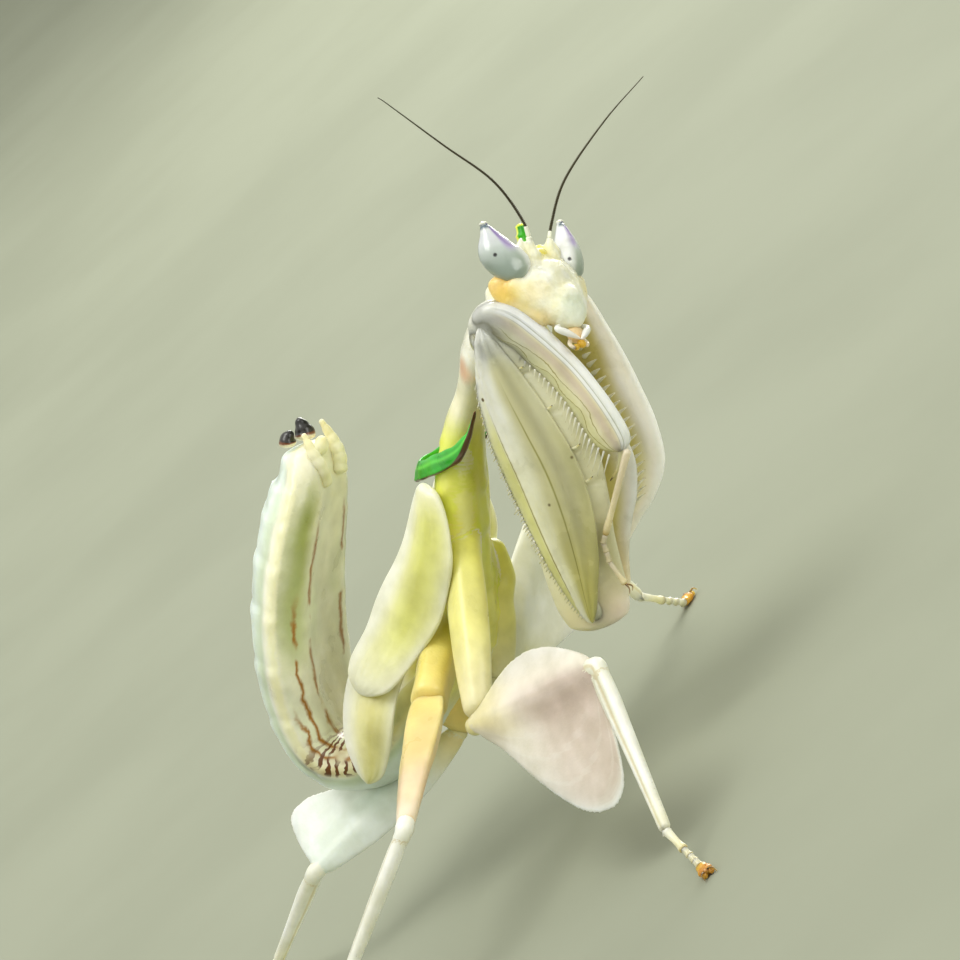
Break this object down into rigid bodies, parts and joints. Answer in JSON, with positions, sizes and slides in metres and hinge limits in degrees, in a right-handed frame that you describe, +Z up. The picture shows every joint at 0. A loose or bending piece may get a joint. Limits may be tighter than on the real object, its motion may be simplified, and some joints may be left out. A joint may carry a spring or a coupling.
{
  "type": "orchid mantis",
  "caption": "Life-size still model of a subadult female orchid mantis, reared up with folded raptorial forelegs, petal-lobed legs and the abdomen curled over the back.",
  "frame": {"origin": "on the ground, at the middle of the bounding box's base", "axes": "+Z up; the animal faces -Y and its left side is +X; the trunk is pitched up 50 degrees and leans to its left"},
  "size_m": [0.036, 0.042, 0.0296],
  "materials": {
    "ivory": "satin cream-white cuticle",
    "lime": "satin yellow-green translucent cuticle",
    "leaf_green": "glossy leaf green",
    "petal_white": "satin translucent white, faintly lilac",
    "lilac_eye": "glossy pale lilac",
    "black": "glossy black-brown",
    "horn_brown": "matt dark brown",
    "amber": "satin amber"
  },
  "bodies": {
    "root": {"pronotum": "ivory", "collar": "leaf_green", "mesothorax": "lime", "metathorax": "lime", "abdomen_base": "ivory", "abdomen_bend": "ivory", "abdomen_middle": "ivory", "abdomen_end": "ivory", "abdomen_tip": "black", "cercus_right": "ivory", "cercus_left": "ivory", "forewing_pad_right": "lime", "hindwing_pad_right": "lime", "forewing_pad_left": "lime", "hindwing_pad_left": "lime", "head": "ivory", "eye_right": "lilac_eye", "eye_left": "lilac_eye", "horn": "leaf_green", "mouthparts": "amber", "antenna_right": "horn_brown", "antenna_left": "horn_brown", "fore_coxa_right": "ivory", "fore_femur_right": "petal_white", "fore_tibia_right": "petal_white", "fore_tarsus_right": "petal_white", "fore_coxa_left": "ivory", "fore_femur_left": "petal_white", "fore_tibia_left": "petal_white", "fore_tarsus_left": "petal_white", "mid_right_coxa": "ivory", "mid_right_femur": "petal_white", "mid_right_tibia": "petal_white", "mid_right_tarsus": "amber", "mid_left_coxa": "ivory", "mid_left_femur": "petal_white", "mid_left_tibia": "petal_white", "mid_left_tarsus": "amber", "hind_right_coxa": "ivory", "hind_right_femur": "petal_white", "hind_right_tibia": "petal_white", "hind_right_tarsus": "amber", "hind_left_coxa": "ivory", "hind_left_femur": "petal_white", "hind_left_tibia": "petal_white", "hind_left_tarsus": "amber"}
  },
  "joints": []
}
